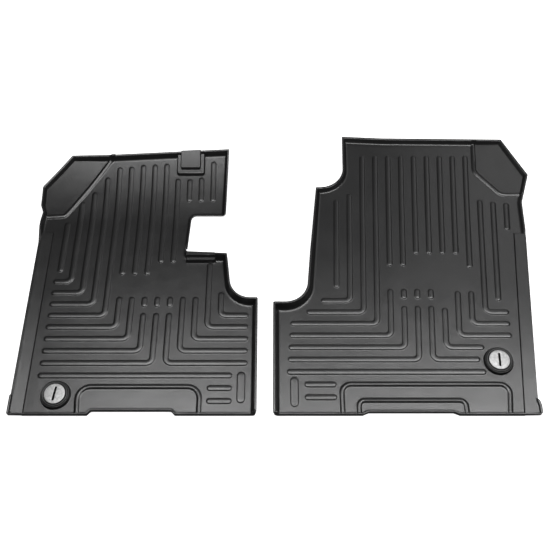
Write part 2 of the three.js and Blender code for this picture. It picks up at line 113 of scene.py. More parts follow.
# The raised boss round the anchor, and the pocket under it.
BOSS_RADIUS = 39.6
BOSS_HEIGHT = 11.0
BOSS_WALL_RUN = 3.0
POCKET_RADIUS = 34.0
POCKET_WALL = 0.6
HOLE_RADIUS = 12.0

# The anchor's slotted disc. Turns are in degrees from the CAD model's lengthwise slot.
DISC_SEAT = 12.8
DISC_CROWN = 17.55
DISC_RADIUS = 28.0
DISC_EDGE_RADII = (24, 25.4, 26.5, 27.3, 27.8, DISC_RADIUS)
SLOT_FLOOR = 13.3
SLOT_HALF_LENGTH = 16.2
SLOT_STEPS = (2.3, 2.6, 2.9, 3.5)
# Painted shade: within this reach of this height the disc's metal is painted near-black, which
# darkens the slot and the disc's edge.
PAINTED_SHADE_Z = SLOT_FLOOR + 0.7
PAINTED_SHADE_REACH = (1.6, 2.4)
SLOT_TURNS = {"driver": -7, "passenger": -3}


# ---- Plan geometry -----------------------------------------------------------------------
def unit(vector):
    return vector / np.hypot(*vector)


def turn_at(corners, i):
    """The directions into and out of a corner, and the angle turned there."""
    here = np.array(corners[i][:2], float)
    before = np.array(corners[i - 1][:2], float)
    after = np.array(corners[(i + 1) % len(corners)][:2], float)
    into = unit(here - before)
    out = unit(after - here)
    cross = into[0] * out[1] - into[1] * out[0]
    return into, out, math.atan2(cross, into @ out)


def arc(start, centre, angle, steps):
    """Points from start round the centre, both ends included."""
    points = []
    for k in range(steps + 1):
        turned = angle * k / steps
        cos, sin = math.cos(turned), math.sin(turned)
        points.append(centre + np.array([[cos, -sin], [sin, cos]]) @ (start - centre))
    return points


def inset(corners, distance):
    """Every edge moved inward; convex radii shrink and concave radii grow to match."""
    moved = []
    for i, (x, y, radius) in enumerate(corners):
        into, out, angle = turn_at(corners, i)
        shift = np.array([-into[1] - out[1], into[0] + out[0]]) * distance / (1 + into @ out)
        new_radius = max(radius - math.copysign(distance, angle), SMALLEST_RADIUS)
        moved.append((x + shift[0], y + shift[1], new_radius))
    return moved


def rounded(corners, step=5.0):
    """The outline as points, with each corner's arc in short steps."""
    points = []
    for i, (x, y, radius) in enumerate(corners):
        into, _, angle = turn_at(corners, i)
        side = math.copysign(1, angle)
        start = np.array([x, y]) - into * radius * math.tan(abs(angle) / 2)
        centre = start + np.array([-into[1], into[0]]) * side * radius
        steps = max(3, math.ceil(radius * abs(angle) / step))
        points.extend(arc(start, centre, angle, steps))
    return np.array(points)


def resampled(points, step, closed=True):
    """The same line with extra points, so that no piece is longer than step."""
    ends = np.roll(points, -1, axis=0) if closed else points[1:]
    starts = points if closed else points[:-1]
    out = []
    for a, b in zip(starts, ends):
        count = max(1, math.ceil(np.hypot(*(b - a)) / step))
        out.extend(a + (b - a) * k / count for k in range(count))
    if not closed:
        out.append(points[-1])
    return np.array(out)


def centre_line(path, half, radius):
    """A bar's centre line from tip to tip, less half a width at each end, corners rounded."""
    points = [np.array(p, float) for p in path]
    points[0] = points[0] + unit(points[1] - points[0]) * half
    points[-1] = points[-1] + unit(points[-2] - points[-1]) * half
    line = [points[0]]
    for i in range(1, len(points) - 1):
        into = unit(points[i] - points[i - 1])
        out = unit(points[i + 1] - points[i])
        angle = math.atan2(into[0] * out[1] - into[1] * out[0], into @ out)
        tangent = radius * math.tan(abs(angle) / 2)
        start = points[i] - into * tangent
        centre = start + np.array([-into[1], into[0]]) * math.copysign(radius, angle)
        line.extend(arc(start, centre, angle, steps=8))
    line.append(points[-1])
    return np.array(line)


def around(line, distance, step=9.0, cap_steps=10):
    """The closed line at a distance round a centre line, with round ends."""
    line = resampled(line, step, closed=False)
    way = np.gradient(line, axis=0)
    way /= np.hypot(way[:, 0], way[:, 1])[:, None]
    left = line + np.stack([-way[:, 1], way[:, 0]], 1) * distance
    right = line - np.stack([-way[:, 1], way[:, 0]], 1) * distance

    def cap(centre, heading):
        base = math.atan2(heading[1], heading[0])
        angles = base - math.pi / 2 + math.pi * np.arange(1, cap_steps) / cap_steps
        return centre + np.stack([np.cos(angles), np.sin(angles)], 1) * distance

    return np.concatenate([right, cap(line[-1], way[-1]), left[::-1], cap(line[0], -way[0])])


def circle(centre, radius, steps=72):
    angles = 2 * math.pi * np.arange(steps) / steps
    return np.array(centre) + np.stack([np.cos(angles), np.sin(angles)], 1) * radius


def distance_to_line(points, line, closed=False):
    """The distance from each point to a line of straight pieces."""
    starts = line if closed else line[:-1]
    ends = np.roll(line, -1, axis=0) if closed else line[1:]
    best = np.full(len(points), np.inf)
    for a, b in zip(starts, ends):
        along = b - a
        length2 = along @ along
        if length2 < 1e-12:
            continue
        t = np.clip((points - a) @ along / length2, 0, 1)
        gap = points - a - t[:, None] * along
        best = np.minimum(best, np.einsum("ij,ij->i", gap, gap))
    return np.sqrt(best)


def inside_of(points, outline):
    """True for each point inside a closed outline (even-odd rule)."""
    x, y = points[:, 0], points[:, 1]
    within = np.zeros(len(points), bool)
    for (x0, y0), (x1, y1) in zip(outline, np.roll(outline, -1, axis=0)):
        if y0 == y1:
            continue
        crosses = (y0 > y) != (y1 > y)
        within ^= crosses & (x < (x1 - x0) * (y - y0) / (y1 - y0) + x0)
    return within


def depth_inside(points, outline):
    """Distance inward from an outline, negative outside it."""
    gap = distance_to_line(points, outline, closed=True)
    return np.where(inside_of(points, outline), gap, -gap)


def smooth(value, low, high):
    """0 up to low, 1 from high on, and an S-shaped rise in between."""
    t = np.clip((value - low) / (high - low), 0, 1)
    return t * t * (3 - 2 * t)


# ---- Surfaces drawn as heights over the plan ----------------------------------------------
def relief_mesh(name, loops, lines, keep, top, bottom, settle=None):
    """A closed solid: triangles over the plan, which follow the given loops and lines, lifted
    to top(points) and joined all round to a lower copy at bottom(points)."""
    points = []
    edges = []
    for path, closed in [(loop, True) for loop in loops] + [(line, False) for line in lines]:
        first = len(points)
        points.extend(map(tuple, path))
        count = len(path)
        edges.extend((first + i, first + i + 1) for i in range(count - 1))
        if closed:
            edges.append((first + count - 1, first))
    flat, _, faces, _, _, _ = delaunay_2d_cdt([Vector(p) for p in points], edges, [], 0, 1e-3)
    plan = np.array([tuple(v) for v in flat])
    faces = np.array([tuple(f) for f in faces])
    faces = faces[keep(plan[faces].mean(axis=1))]
    used = np.unique(faces)
    renumber = np.full(len(plan), -1)
    renumber[used] = np.arange(len(used))
    plan = plan[used]
    faces = renumber[faces]
    count = len(plan)
    sides = {}
    for a, b, c in faces:
        for edge in ((a, b), (b, c), (c, a)):
            if (edge[1], edge[0]) in sides:
                del sides[(edge[1], edge[0])]
            else:
                sides[edge] = True
    vertices = np.concatenate([
        np.column_stack([plan, top(plan)]),
        np.column_stack([plan, bottom(plan)]),
    ])
    if settle is not None:
        vertices = settle(vertices)
    polygons = [tuple(f) for f in faces]
    polygons += [(c + count, b + count, a + count) for a, b, c in faces]
    polygons += [(b, a, a + count, b + count) for a, b in sides]
    mesh = bpy.data.meshes.new(name)
    mesh.from_pydata([tuple(v) for v in vertices], [], polygons)
    mesh.validate()
    return mesh


class Mat:
    """One mat's outline and features, and the height of its two faces.

    The band is the step line beside the door, as two points. The door profile is the x beyond
    which the rim is lower, then the ys and the rim's heights there. In each low rim, a box of
    x0, x1, y0 and y1, only a lip is left. Blocks and panels give heights of their own.
    """

    def __init__(self, corners, anchor, toe_bend, rim_scale, tunnel_x):
        self.corners = corners
        self.rim_scale = rim_scale
        self.tunnel_x = tunnel_x
        self.band_run = SIDE_BAND_RUN
        self.foot_run = FOOT_RUN * rim_scale
        self.toe_start, self.toe_end, self.toe_slope = toe_bend
        self.outline = rounded(corners)
        at_rear = self.outline[:, 1] < HEEL_Y + 0.5
        rear_count = int(np.argmin(at_rear))
        self.rear = self.outline[:rear_count]
        self.rest = np.vstack([self.outline[rear_count - 1:], self.outline[:1]])
        self.anchor = np.array(anchor, float)
        self.bars = []
        self.band = None
        self.door_profile = None
        self.blocks = []
        self.low_rims = []
        self.panels = []

    def add_bar(self, path, width=RIB_WIDTH, height=RIB_HEIGHT, radius=CORNER_RADIUS,
                slope=RIB_SLOPE):
        """A rib or bead along a path. The slope is the width of its sloping flank."""
        half = width / 2
        self.bars.append((centre_line(path, half, radius), half, height, slope))

    def toe(self, y):
        """How far the toe end is turned up: a smooth bend, then a straight slope."""
        bend = np.clip(y, self.toe_start, self.toe_end) - self.toe_start
        curved = bend**2 / (2 * (self.toe_end - self.toe_start))
        return self.toe_slope * (curved + np.maximum(y - self.toe_end, 0))

    def rim_share(self, points):
        """How much of the full rim height there is near each point."""
        x, y = points[:, 0], points[:, 1]
        at = [*REAR_RISE, *FRONT_FALL]
        height = np.interp(y, at, [REAR_RIM_HEIGHT, RIM_HEIGHT, RIM_HEIGHT, FRONT_RIM_HEIGHT])
        blend = REAR_CORNER_BLEND
        at_corner = 1 - smooth(np.abs(x - self.tunnel_x), REAR_CORNER - blend, REAR_CORNER + blend)
        height = height + (RIM_HEIGHT - height) * at_corner * (y < 0)
        door_x, at, low = self.door_profile
        beside_door = x < door_x if door_x < 0 else x > door_x
        height = np.where(beside_door, np.minimum(np.interp(y, at, low), height), height)
        for x0, x1, y0, y1 in self.low_rims:
            soft = LIP_SOFTNESS
            inside = smooth(x, x0 - soft, x0) * (1 - smooth(x, x1, x1 + soft))
            inside *= smooth(y, y0 - soft, y0) * (1 - smooth(y, y1, y1 + soft))
            height = height + (LIP_HEIGHT - height) * inside
        return (height - SHEET) / (RIM_HEIGHT - SHEET)

    def band_axes(self):
        """The step line of the band beside the door, its direction, and the way to the door."""
        start, end = (np.array(p, float) for p in self.band)
        along = unit(end - start)
        return start, end, along, np.array([along[1], -along[0]]) * math.copysign(1, start[0])

    def band_height(self, points, depth=0.0):
        """Height of the band beside the door above the sheet: a step, then a gentle rise."""
        start, end, along, across = self.band_axes()
        t = (points - start) @ across - depth
        s = (points - start) @ along
        length = (end - start) @ along
        slope = (SILL_HEIGHT - SHEET - SIDE_BAND_STEP) / self.band_run
        rise = SIDE_BAND_STEP * smooth(t, 0, SIDE_BAND_STEP_RUN)
        rise = rise + slope * np.clip(t, 0, self.band_run)
        return rise * (1 - smooth(s, length - 4, length))

    def wall_height(self, depth):
        """Height of the rim above the sheet, by distance in from its outer edge: a flat ledge,
        then a steep wall with a rounded foot."""
        height = [23.0, 23.2, 24.1, 24.5, 24.3, 22.6, 3.4, 1.9, 0.8, 0.2, 0]
        return np.interp(depth / self.rim_scale, [OUTSIDE, *RIM_DEPTHS], height)

    def rear_wall_height(self, depth):
        """The same for the seat side, whose wall stands upright."""
        at = [OUTSIDE, 0, 0.7, 1.9, 3.0, 3.8, 5.4, 6.4, 8.3]
        height = [23.0, 23.2, 24.1, 24.5, 23.4, 20.0, 3.0, 0.8, 0]
        return np.interp(depth, at, height)

    def edge_depths(self, points):
        """Distance in from the seat side's edge, and from all the other edges."""
        within = np.where(inside_of(points, self.outline), 1, -1)
        rear = distance_to_line(points, self.rear)
        rest = distance_to_line(points, self.rest)
        return rear * np.where(rear < rest, within, 1), rest * np.where(rest < rear, within, 1)

    def smooth_height(self, points, bars=True):
        """Height of the upper face above the floor, before the toe end is turned up."""
        rear, rest = self.edge_depths(points)
        share = self.rim_share(points)
        raised = np.maximum(self.wall_height(rest), self.rear_wall_height(rear)) * share
        raised = np.maximum(raised, self.band_height(points))
        for panel in self.panels:
            raised = np.maximum(raised, panel(points))
        for block in self.blocks:
            raised = np.maximum(raised, block(points))
        gap = np.hypot(*(points - self.anchor).T)
        within_boss = 1 - smooth(gap, BOSS_RADIUS - BOSS_WALL_RUN, BOSS_RADIUS)
        raised = np.maximum(raised, (BOSS_HEIGHT - SHEET) * within_boss)
        if bars:
            for line, half, height, slope in self.bars:
                low, high = line.min(0) - half - 2, line.max(0) + half + 2
                near = np.all((points > low) & (points < high), axis=1)
                if near.any():
                    d = distance_to_line(points[near], line)
                    foot = half + RIB_SPREAD
                    side = 1 - smooth(d, foot - slope, foot)
                    crown = 1 - np.clip(d / (foot - slope), 0, 1)**2
                    raised[near] += side * (height - CROWN * (1 - crown))
        return SHEET + raised

    def top(self, points):
        """Height of the upper face, with its ribs."""
        return self.smooth_height(points)

    def bottom(self, points):
        """Height of the lower face: flat, and hollow under the rim, band, blocks and boss."""
        _, rest = self.edge_depths(points)
        share = self.rim_share(points)
        at = [OUTSIDE, 0, *UNDERSIDE_DEPTHS, 12]
        outer = np.interp(rest, at, [25.4, 25.4, 2.2, 0.7, 0]) * share
        inner = np.maximum(self.band_height(points, depth=2.0) - EXTRA_THICKNESS, 0)
        for block in self.blocks + self.panels:
            inner = np.maximum(inner, block(points) - EXTRA_THICKNESS)
        gap = np.hypot(*(points - self.anchor).T)
        within_pocket = 1 - smooth(gap, POCKET_RADIUS - POCKET_WALL, POCKET_RADIUS + POCKET_WALL)
        pocket = (BOSS_HEIGHT - SHEET) * within_pocket
        height = np.maximum(np.maximum(outer, inner), pocket)
        ceiling = self.smooth_height(points, bars=False) - LEAST_THICKNESS
        return np.minimum(height, ceiling)

    def mesh(self, name):
        """The mat as a closed mesh, whose edges follow every line where the height changes."""
        loops = []
        depths = [depth * self.rim_scale for depth in (*RIM_DEPTHS, FOOT_RUN)]
        for depth in (*depths, REAR_WALL_DEPTH, *UNDERSIDE_DEPTHS):
            loops.append(resampled(rounded(inset(self.corners, depth)), 14.0))
        for line, half, _, slope in self.bars:
            foot = half + RIB_SPREAD
            loops.append(around(line, half + GUARD))
            for share in (0, 0.16, 0.34, 0.5, 0.66, 0.84, 1):
                loops.append(around(line, foot - slope * share))
            loops.append(around(line, (foot - slope) * 0.55))
        for radius in (HOLE_RADIUS, POCKET_RADIUS - POCKET_WALL, POCKET_RADIUS + POCKET_WALL):
            loops.append(circle(self.anchor, radius))
        for step in (-BOSS_WALL_RUN, -2.2, -1.5, -0.8, 0.0, 2.4):
            loops.append(circle(self.anchor, BOSS_RADIUS + step))
        low, high = self.outline.min(0) + OUTSIDE, self.outline.max(0) - OUTSIDE
        lines = []
        for y in np.arange(self.toe_start - 32, min(self.toe_end, high[1]), 8):
            lines.append(np.array([[low[0], y], [high[0], y]]))
        for y in np.linspace(*REAR_RISE, 4):
            lines.append(np.array([[low[0], y], [high[0], y]]))
        into = -1 if self.tunnel_x > self.anchor[0] else 1
        for step in (-REAR_CORNER_BLEND, -0.7, 0.7, REAR_CORNER_BLEND):
            x = self.tunnel_x + into * (REAR_CORNER + step)
            lines.append(np.array([[x, low[1]], [x, REAR_RISE[1]]]))
        door_x, at, _ = self.door_profile
        edge_x = low[0] if door_x < 0 else high[0]
        for y in at:
            lines.append(np.array([[door_x, y], [edge_x, y]]))
        lines.extend(self.extra_lines())

        def keep(centres):
            hole = np.hypot(*(centres - self.anchor).T) > HOLE_RADIUS - 0.05
            return inside_of(centres, loops[0]) & hole

        return relief_mesh(name, loops, lines, keep, self.top, self.bottom, self.settle)

    def settle(self, points):
        """Where the rim is low, its leaning wall stops short of the outline: points near the
        outline move in with it. Then the toe end turns up."""
        plan = points[:, :2]
        share = self.rim_share(plan)
        short = WALL_RUN * (1 - SHEET / RIM_HEIGHT) * (1 - share)
        fine = resampled(self.rest, 4.0, closed=False)
        fine_ways = np.gradient(fine, axis=0)
        fine_ways /= np.hypot(*fine_ways.T)[:, None]
        _, rest = self.edge_depths(plan)
        moved = np.where((share < 0.999) & (rest < self.foot_run))[0]
        for i in moved:
            way = fine_ways[np.argmin(((fine - plan[i])**2).sum(1))]
            inward = np.array([-way[1], way[0]])
            plan[i] += inward * short[i] * (1 - max(rest[i], 0) / self.foot_run)
        points[:, 2] += self.toe(plan[:, 1])
        return points

    def extra_lines(self):
        """Lines across which a band, a block or a low rim changes height."""
        lines = []
        start, end, along, across = self.band_axes()
        for t in (-2.0, 0.0, 0.6, 1.2, 1.8, SIDE_BAND_STEP_RUN, 4.4, self.band_run - 8):
            lines.append(np.array([start - along * 8, end + along * 8]) + across * t)
        for s in (-6, -4, -2, 0, 2):
            foot = end + along * s
            lines.append(np.array([foot - across * 4, foot + across * self.band_run]))
        for x0, x1, y0, y1 in self.low_rims:
            for soft in (0.0, LIP_SOFTNESS / 2, LIP_SOFTNESS):
                box = [(x0 - soft, y0 - soft), (x1 + soft, y0 - soft)]
                box += [(x1 + soft, y1 + soft), (x0 - soft, y1 + soft), (x0 - soft, y0 - soft)]
                lines.append(np.array(box, float))
        for block in self.blocks + self.panels:
            lines.extend(block.lines)
        return lines


class Terrace:
    """A moulded block with sloping sides: full height inside an outline, falling over a run."""

    def __init__(self, corners, height, run):
        self.outline = rounded(corners, step=3.0)
        self.height = height
        self.run = run
        self.lines = []
        for distance in (-2, 0, run / 4, run / 2, run * 3 / 4, run, run + 2):
            loop = resampled(rounded(inset(corners, distance)), 12.0)
            self.lines.append(np.vstack([loop, loop[:1]]))

    def __call__(self, points):
        """Height of the block above the sheet at each point."""
        return self.height * smooth(depth_inside(points, self.outline), 0, self.run)


class TiltedPanel:
    """The foot pad in an outer corner: it tilts up from each piece of its bead, and where the
    pieces meet, the lowest plane counts. The pad is on the left of the path."""

    def __init__(self, path, slopes):
        self.planes = []
        for a, b, slope in zip(path, path[1:], slopes):
            way = unit(np.array(b, float) - np.array(a, float))
            normal = np.array([-way[1], way[0]])
            self.planes.append((normal, normal @ np.array(a, float), slope))
        self.lines = []
        for corner, first, second in zip(path[1:-1], self.planes, self.planes[1:]):
            across = first[2] * first[0] - second[2] * second[0]
            hip = unit(np.array([-across[1], across[0]]))
            hip *= math.copysign(1, hip @ first[0])
            start = np.array(corner, float) + hip * 2
            self.lines.append(resampled(np.array([start, start + hip * 120]), 10.0, closed=False))

    def __call__(self, points):
        """Height of the pad above the sheet at each point."""
        heights = [slope * (points @ normal - offset) for normal, offset, slope in self.planes]
        return np.maximum(np.minimum.reduce(heights), 0)


# ---- Driver mat --------------------------------------------------------------------------
def driver_mat():
    """The mat on the left, with its outline as corners of (x, y, radius)."""
    corners = [
        (-683, REAR_Y, 6), (-477, REAR_Y, SHARP), (-467, HEEL_Y, SHARP), (-264, HEEL_Y, SHARP),
        (-254, REAR_Y, SHARP), (DRIVER_TUNNEL_X, REAR_Y, 10), (DRIVER_TUNNEL_X, -88.5, SHARP),
        (-118, -88.5, NOTCH_RADIUS), (-134.5, 52.5, SHARP), (-243.5, 57.5, SHARP),
        (-236, 183.5, 8), (-140.5, 183.5, 6),
        (-132.5, 396, 4), (-490, 379.5, 40), (-606, 377, 10), (-689, 281, 14), (-688.5, 219, 6),
        (-680, 197, 6), (-684, 168, 12),
    ]
    mat = Mat(corners, anchor=(-563, -362), toe_bend=(150, 385, 0.40), rim_scale=1.0,
              tunnel_x=DRIVER_TUNNEL_X)
    mat.band = ((-638, REAR_Y), (-638, 135))
    low = (REAR_RIM_HEIGHT, SILL_HEIGHT, SILL_HEIGHT, FRONT_RIM_HEIGHT)
    mat.door_profile = (-630, (-366, -361, 100, 150), low)
    mat.low_rims = [(-268, -230, 61, 210), (-231, -150, 170, 210)]

    def column(i):
        return -463 + PITCH * i

    def row(j):
        return -308 + PITCH * j

    door_end, tunnel_end = -617, -72
    straight = [
        (-4, 3, 170), (1, -6, 349), (2, -6, 354), (3, -6, 355), (4, 34, 358), (5, 34, 313),
        (6, 239, 311), (7, 239, 316), (8, 239, 364), (3, -107, -76), (4, -107, -76), (5, -107, -76),
    ]
    for i, low, high in straight:
        mat.add_bar([(column(i), low), (column(i), high)])
    for k, top in enumerate((239, 270, 316, 347, -76, -76, -126, -126)):
        x, y = column(k - 3), row(8 - k)
        mat.add_bar([(x, top), (x, y), (door_end, y)])
    for k, top in enumerate((-61, 33, -76, -76, -126)):
        x, y = column(9 - k), row(5 - k)
        mat.add_bar([(x, top), (x, y), (tunnel_end, y)])
    mat.add_bar([(door_end, row(0)), (-111, row(0))])
    mat.add_bar([(-176, row(-1)), (-111, row(-1))])
    mat.add_bar([(-176, row(-2)), (-111, row(-2))])
    mat.add_bar([(-88, -384), (-88, -298)], width=FAT_RIB_WIDTH)
    heel_plate = [(-502.5, -414), (-510, -339), (-194, -339), (-194, -414)]
    foot_rest = [(-672, 188), (-615, 191), (-477, 386)]
    mat.add_bar(heel_plate, BEAD_WIDTH, BEAD_HEIGHT, 2 * CORNER_RADIUS, BEAD_SLOPE)
    mat.add_bar(foot_rest, BEAD_WIDTH, BEAD_HEIGHT, slope=BEAD_SLOPE)
    mat.panels = [TiltedPanel(foot_rest, (0.2, DRIVER_PAD_SLOPE))]
    mat.blocks = [
        Terrace([(-293, 420, 2), (-293, 321, 10), (-208, 321, 10), (-208, 420, 2)], 8.5, 4),
        Terrace([(-283, 425, 2), (-283, 332, 8), (-218, 332, 8), (-218, 425, 2)], 17.5, 5),
        Terrace([(-252, 33, 3), (-166, 33, 3), (-166, 80, 3), (-252, 80, 3)], 12.5, 3.5),
        Terrace([(-252, 42, 3), (-166, 42, 3), (-166, 80, 3), (-252, 80, 3)], 24.5, 3.5),
    ]
    return mat


# ---- Passenger mat -----------------------------------------------------------------------
def passenger_mat():
    """The mat on the right, whose lengthwise ribs fan out a little towards the toe end."""
    corners = [
        (PASSENGER_TUNNEL_X, REAR_Y, 6), (222, REAR_Y, SHARP), (237, HEEL_Y - 4, SHARP),
        (452, HEEL_Y - 4, SHARP),
        (468, REAR_Y, SHARP), (681, REAR_Y, 10), (682, -392, 8), (677.5, -372, 8), (728.5, 112, 20),
        (735, 236, 20), (764, 333, 8), (699, 466.5, 8), (330, 471, 60), (204, 477.5, 5),
        (199.5, 293.5, TOE_NOTCH_RADIUS), (119, 290.5, SHARP), (85, -101.5, NOTCH_RADIUS + 5),
        (-5, -101.5, SHARP),
    ]
    mat = Mat(corners, anchor=(587, -268), toe_bend=(150, 450, 0.06), rim_scale=1.15,
              tunnel_x=PASSENGER_TUNNEL_X)
    mat.band = ((630, REAR_Y), (690, 135))
    mat.band_run = PASSENGER_BAND_RUN
    low = (REAR_RIM_HEIGHT, SILL_HEIGHT, SILL_HEIGHT, 12, 12, FRONT_RIM_HEIGHT)
    mat.door_profile = (636, (-377, -372, 125, 140, 235, 320), low)
    origin_y, pitch = -298, 36
    middle, middle_x = 6, 377.4
    lean, spread = 0.068, 0.0049

    def column(i, y):
        across = i - middle
        return middle_x + pitch * across + (y - origin_y) * (lean + spread * across)

    def row(j):
        return origin_y + PITCH * j

    straight = [
        (0, -48, 251), (4, 23, 412), (5, 23, 412), (6, 63, 412), (7, 63, 412), (8, 63, 412),
        (9, 62, 412), (10, 17, 412), (12, -89, 244), (13, 144, 240),
        (5, -83, -51), (6, -83, -51), (7, -83, -51),
    ]
    for i, low, high in straight:
        mat.add_bar([(column(i, low), low), (column(i, high), high)])
    turned = [
        (1, 272, 6, 127), (2, 412, 5, 86), (3, 412, 4, 42), (4, -51, 3, 39), (5, -104, 2, 36),
        (6, -104, 1, 34), (7, -104, 1, 540), (8, -110, 2, 555), (9, -58, 3, 634), (10, -58, 4, 635),
        (11, 251, 5, 637),
    ]
    for i, top, j, end in turned:
        mat.add_bar([(column(i, top), top), (column(i, row(j)), row(j)), (end, row(j))])
    mat.add_bar([(31, row(0)), (551, row(0))])
    mat.add_bar([(76, row(-1)), (159, row(-1))])
    mat.add_bar([(76, row(-2)), (159, row(-2))])
    mat.add_bar([(50, -394), (50, -312)], width=FAT_RIB_WIDTH)
    outer_heel = [(172, -414), (172, -332), (607, -332), (596, -414)]
    inner_heel = [(214, -414), (214, -376), (487, -376), (487, -414)]
    foot_rest = [(613, 466), (604, 352), (673, 268.5), (745, 268.5)]
    mat.add_bar(outer_heel, BEAD_WIDTH, BEAD_HEIGHT, 1.5 * CORNER_RADIUS, BEAD_SLOPE)
    mat.add_bar(inner_heel, BEAD_WIDTH, BEAD_HEIGHT, slope=BEAD_SLOPE)
    mat.add_bar(foot_rest, BEAD_WIDTH, BEAD_HEIGHT, 2 * CORNER_RADIUS, BEAD_SLOPE)
    mat.panels = [TiltedPanel(foot_rest, (0.3, PASSENGER_PAD_SLOPE, 0.3))]
    return mat


# ---- Materials ---------------------------------------------------------------------------
def new_material(name):
    material = bpy.data.materials.new(name)
    material.use_nodes = True
    nodes = material.node_tree.nodes
    shader = nodes["Principled BSDF"]
    return material, nodes, material.node_tree.links, shader


def object_place(nodes):
    return nodes.new("ShaderNodeTexCoord").outputs["Object"]


def noise(nodes, links, coordinates, scale, detail=2.0, roughness=0.5):
    node = nodes.new("ShaderNodeTexNoise")
    node.inputs["Scale"].default_value = scale
    node.inputs["Detail"].default_value = detail
    node.inputs["Roughness"].default_value = roughness
    links.new(coordinates, node.inputs["Vector"])
    return node.outputs["Fac"]


def remap(nodes, links, value, low, high, from_low=0.3, from_high=0.7):
    node = nodes.new("ShaderNodeMapRange")
    node.inputs["From Min"].default_value = from_low
    node.inputs["From Max"].default_value = from_high
    node.inputs["To Min"].default_value = low
    node.inputs["To Max"].default_value = high
    links.new(value, node.inputs["Value"])
    return node.outputs["Result"]


def colour_blend(nodes, links, factor, first, second):
    ramp = nodes.new("ShaderNodeValToRGB")
    ramp.color_ramp.elements[0].color = (*first, 1)
    ramp.color_ramp.elements[1].color = (*second, 1)
    links.new(factor, ramp.inputs["Fac"])
    return ramp.outputs["Color"]


def bump(nodes, links, height, strength, distance, normal=None):
    node = nodes.new("ShaderNodeBump")
    node.inputs["Strength"].default_value = strength
    node.inputs["Distance"].default_value = distance
    links.new(height, node.inputs["Height"])
    if normal is not None:
        links.new(normal, node.inputs["Normal"])
    return node.outputs["Normal"]


def elastomer_material():
    """Black thermoplastic elastomer: fine moulded pebble grain, a soft satin sheen."""
    material, nodes, links, shader = new_material("black_elastomer")
    place = object_place(nodes)
    patches = noise(nodes, links, place, 9.0, 3.0)
    grain = nodes.new("ShaderNodeTexVoronoi")
    grain.inputs["Scale"].default_value = 900.0
    links.new(place, grain.inputs["Vector"])
    black = colour_blend(nodes, links, patches, (0.0028, 0.0028, 0.003), (0.005, 0.005, 0.0052))
    links.new(black, shader.inputs["Base Color"])
    links.new(remap(nodes, links, patches, 0.32, 0.37), shader.inputs["Roughness"])
    waviness = noise(nodes, links, place, 14.0, 2.0)
    wavy = bump(nodes, links, waviness, 0.25, 0.004)
    grained = bump(nodes, links, grain.outputs["Distance"], 0.25, 0.0006, wavy)
    links.new(grained, shader.inputs["Normal"])
    shader.inputs["IOR"].default_value = 1.8
    return material


def fine_grained_material(name, grain_scale, colours, roughness, relief, metallic):
    """A plain surface whose colour, gloss and relief all follow one fine grain."""
    material, nodes, links, shader = new_material(name)
    place = object_place(nodes)
    grain = noise(nodes, links, place, grain_scale, 3.0)
    links.new(colour_blend(nodes, links, grain, *colours), shader.inputs["Base Color"])
    links.new(remap(nodes, links, grain, *roughness), shader.inputs["Roughness"])
    links.new(bump(nodes, links, grain, *relief), shader.inputs["Normal"])
    shader.inputs["Metallic"].default_value = metallic
    return material


def nylon_material():
    colours = ((0.012, 0.012, 0.012), (0.026, 0.026, 0.026))
    return fine_grained_material("black_nylon", 420.0, colours, (0.34, 0.5), (0.2, 0.0004), 0.0)


def spring_steel_material():
    colours = ((0.30, 0.31, 0.33), (0.5, 0.51, 0.53))
    return fine_grained_material("spring_steel", 300.0, colours, (0.22, 0.4), (0.15, 0.0003), 1.0)


def cast_metal_material():
    """Bright die-cast zinc with a fine tumbled texture, and painted shade: near-black at the height
    of the slot's floor, in the slot and round the disc's edge.
    """
    material, nodes, links, shader = new_material("cast_metal")
    place = object_place(nodes)
    parts = nodes.new("ShaderNodeSeparateXYZ")
    links.new(place, parts.inputs["Vector"])
    from_slot = nodes.new("ShaderNodeMath")
    from_slot.operation = "SUBTRACT"
    links.new(parts.outputs["Z"], from_slot.inputs[0])
    from_slot.inputs[1].default_value = PAINTED_SHADE_Z * MM
    gap = nodes.new("ShaderNodeMath")
    gap.operation = "ABSOLUTE"
    links.new(from_slot.outputs["Value"], gap.inputs[0])
    outside_painted_shade = nodes.new("ShaderNodeMapRange")
    outside_painted_shade.inputs["From Min"].default_value = PAINTED_SHADE_REACH[0] * MM
    outside_painted_shade.inputs["From Max"].default_value = PAINTED_SHADE_REACH[1] * MM
    links.new(gap.outputs["Value"], outside_painted_shade.inputs["Value"])
    mottle = noise(nodes, links, place, 170.0, 4.0, 0.6)
    grain = noise(nodes, links, place, 900.0, 2.0)
    bright = colour_blend(nodes, links, mottle, (0.29, 0.29, 0.29), (0.66, 0.66, 0.655))
    # Painted shade: the base colour turns near-black near the slot floor's height, in the slot and
    # round the disc's edge.
    painted_shade_mix = nodes.new("ShaderNodeMix")
    painted_shade_mix.data_type = "RGBA"
    links.new(outside_painted_shade.outputs["Result"], painted_shade_mix.inputs["Factor"])
    painted_shade_mix.inputs["A"].default_value = (0.012, 0.012, 0.012, 1)
    links.new(bright, painted_shade_mix.inputs["B"])
    links.new(painted_shade_mix.outputs["Result"], shader.inputs["Base Color"])
    links.new(remap(nodes, links, mottle, 0.66, 0.5), shader.inputs["Roughness"])
    rough = bump(nodes, links, mottle, 0.5, 0.0012)
    links.new(bump(nodes, links, grain, 0.25, 0.0003, rough), shader.inputs["Normal"])
    shader.inputs["Metallic"].default_value = 1.0
    return material


def floor_material():
    """A pale floor with a faint glow, so that it stays even and nearly white."""
    material, nodes, links, shader = new_material("studio_floor")
    place = object_place(nodes)
    soft = noise(nodes, links, place, 1.5, 2.0)
    pale = colour_blend(nodes, links, soft, (0.86, 0.86, 0.86), (0.88, 0.88, 0.88))
    links.new(pale, shader.inputs["Base Color"])
    shader.inputs["Roughness"].default_value = 0.9
    shader.inputs["Emission Color"].default_value = (1, 1, 1, 1)
    shader.inputs["Emission Strength"].default_value = 0.8
    return material


